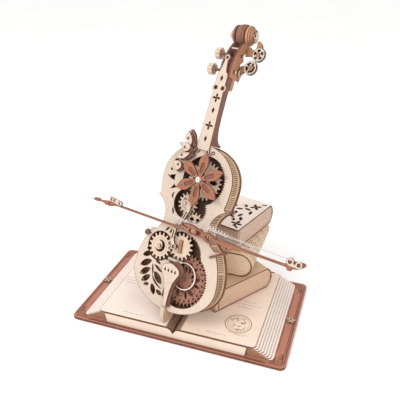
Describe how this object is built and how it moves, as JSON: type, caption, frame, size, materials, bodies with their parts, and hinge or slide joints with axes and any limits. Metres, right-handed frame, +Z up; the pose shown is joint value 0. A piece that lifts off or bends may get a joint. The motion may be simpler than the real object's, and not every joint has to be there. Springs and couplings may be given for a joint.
{
  "type": "wooden mechanical cello model",
  "caption": "Laser-cut wooden cello model with meshed gears, turning flower and sliding bow, leaning on closed books that stand on an open book.",
  "frame": {"origin": "centre of the underside of the open book's cover board", "axes": "+X to the reader's right along the open book, +Y to the back, +Z up"},
  "size_m": [0.2564, 0.1873, 0.2993],
  "materials": {
    "basswood_pale": "laser-cut ply, satin",
    "page_wood": "pale printed veneer, satin",
    "red_brown_wood": "stained ply, satin",
    "mauve_brown_wood": "stained ply, satin",
    "orange_brown_wood": "stained ply, satin",
    "tan_ply": "bent ply with hinge slots, satin",
    "burnt_ply": "laser-burnt ply, matt",
    "movement_steel": "brushed",
    "white_wood": "painted white, satin",
    "bow_cord": "taut strand",
    "clear_sheet": "clear film"
  },
  "bodies": {
    "model": {"cover_board": "red_brown_wood", "cover_studs": "basswood_pale", "left_page_sheets": "tan_ply", "right_page_sheets": "tan_ply", "left_top_page": "page_wood", "right_top_page": "page_wood", "gutter_strips": "burnt_ply", "page_fascias": "page_wood", "lower_book_cover": "tan_ply", "lower_book_pages": "page_wood", "middle_book_cover": "tan_ply", "middle_book_pages": "page_wood", "top_book_base": "tan_ply", "top_book_pages": "page_wood", "top_book_spine": "tan_ply", "top_book_lace_cover": "page_wood", "rear_prop": "basswood_pale", "back_plate": "basswood_pale", "front_plate": "basswood_pale", "movement_plate": "burnt_ply", "upper_rib": "tan_ply", "waist_ribs": "tan_ply", "lower_rib": "tan_ply", "corner_rods": "orange_brown_wood", "plate_posts": "tan_ply", "neck_sides": "mauve_brown_wood", "neck_core": "mauve_brown_wood", "fingerboard": "basswood_pale", "pegbox_cheeks": "orange_brown_wood", "wheel_arms": "tan_ply", "scroll_discs": "red_brown_wood", "scroll_caps": "basswood_pale", "leaf_ornament_dark": "mauve_brown_wood", "leaf_ornament_pale": "basswood_pale", "crescent_ring": "white_wood", "tailpiece": "basswood_pale", "tailpiece_underlay": "red_brown_wood", "end_foot": "basswood_pale", "music_movement": "movement_steel", "bow_pivot_post": "tan_ply"},
    "drive_gear": {"main_gear": "red_brown_wood"},
    "crank": {"crank_gear_front": "basswood_pale", "crank_arbor": "tan_ply"},
    "left_front_gear": {"left_gear": "basswood_pale"},
    "middle_idler": {"idler_gear": "basswood_pale"},
    "upper_idler": {"upper_idler": "basswood_pale"},
    "flower": {"flower_gear": "basswood_pale", "flower": "red_brown_wood", "flower_cap": "white_wood"},
    "rocker": {"bow_rocker": "basswood_pale"},
    "link": {"drive_link": "basswood_pale"},
    "bow": {"bow_stick": "red_brown_wood", "bow_fittings": "basswood_pale", "bow_hair": "bow_cord", "bow_clear_strip": "clear_sheet"},
    "winding_key": {"winding_key": "basswood_pale"},
    "upper_left_peg": {"upper_left_peg": "basswood_pale"},
    "lower_left_peg": {"lower_left_peg": "basswood_pale"},
    "upper_right_peg": {"upper_right_peg": "basswood_pale"},
    "lower_right_peg": {"lower_right_peg": "basswood_pale"}
  },
  "joints": [
    {"name": "drive_gear_spin", "type": "hinge", "parent": "model", "child": "drive_gear", "pos_m": [0.00245, -0.03907, 0.05949], "axis": [0.2617, 0.8558, -0.4462], "continuous": true},
    {"name": "crank_spin", "type": "hinge", "parent": "model", "child": "crank", "pos_m": [-0.00404, -0.02187, 0.08869], "axis": [0.2617, 0.8558, -0.4462], "continuous": true},
    {"name": "left_gear_spin", "type": "hinge", "parent": "model", "child": "left_front_gear", "pos_m": [-0.03002, -0.01742, 0.08198], "axis": [0.2617, 0.8558, -0.4462], "continuous": true},
    {"name": "middle_idler_spin", "type": "hinge", "parent": "model", "child": "middle_idler", "pos_m": [0.0051, -0.01312, 0.11083], "axis": [0.2617, 0.8558, -0.4462], "continuous": true},
    {"name": "upper_idler_spin", "type": "hinge", "parent": "model", "child": "upper_idler", "pos_m": [-0.00529, -0.00032, 0.12929], "axis": [0.2617, 0.8558, -0.4462], "continuous": true},
    {"name": "flower_spin", "type": "hinge", "parent": "model", "child": "flower", "pos_m": [0.01055, 0.00789, 0.15433], "axis": [0.2617, 0.8558, -0.4462], "continuous": true},
    {"name": "rocker_swing", "type": "hinge", "parent": "model", "child": "rocker", "pos_m": [-0.00694, -0.00571, 0.1321], "axis": [0.2617, 0.8558, -0.4462], "range_deg": [-10, 10]},
    {"name": "link_pivot", "type": "hinge", "parent": "rocker", "child": "link", "pos_m": [-0.01329, -0.0194, 0.11042], "axis": [0.2617, 0.8558, -0.4462], "range_deg": [-20, 20]},
    {"name": "bow_slide", "type": "slide", "parent": "model", "child": "bow", "axis": [0.9586, -0.2841, 0.0172], "range_m": [-0.005, 0.005]},
    {"name": "winding_key_turn", "type": "hinge", "parent": "model", "child": "winding_key", "pos_m": [0.00592, -0.02442, 0.05153], "axis": [0.2617, 0.8558, -0.4462], "continuous": true},
    {"name": "upper_left_peg_turn", "type": "hinge", "parent": "model", "child": "upper_left_peg", "pos_m": [0.0205, 0.07569, 0.27003], "axis": [0.9568, -0.2909, 0.0031], "continuous": true},
    {"name": "lower_left_peg_turn", "type": "hinge", "parent": "model", "child": "lower_left_peg", "pos_m": [0.01646, 0.06226, 0.25647], "axis": [0.9568, -0.2909, 0.0031], "continuous": true},
    {"name": "upper_right_peg_turn", "type": "hinge", "parent": "model", "child": "upper_right_peg", "pos_m": [0.04478, 0.0741, 0.27226], "axis": [0.2617, 0.8558, -0.4462], "continuous": true},
    {"name": "lower_right_peg_turn", "type": "hinge", "parent": "model", "child": "lower_right_peg", "pos_m": [0.03857, 0.06628, 0.26034], "axis": [0.2617, 0.8558, -0.4462], "continuous": true}
  ],
  "couplings": [
    {"joint": "drive_gear_spin", "follows": "flower_spin", "ratio": 0.45139},
    {"joint": "crank_spin", "follows": "flower_spin", "ratio": -1.625},
    {"joint": "left_gear_spin", "follows": "flower_spin", "ratio": 1.625},
    {"joint": "middle_idler_spin", "follows": "flower_spin", "ratio": 1.4444},
    {"joint": "upper_idler_spin", "follows": "flower_spin", "ratio": -1.7333},
    {"joint": "bow_slide", "follows": "rocker_swing", "m_per_rad": -0.026}
  ]
}
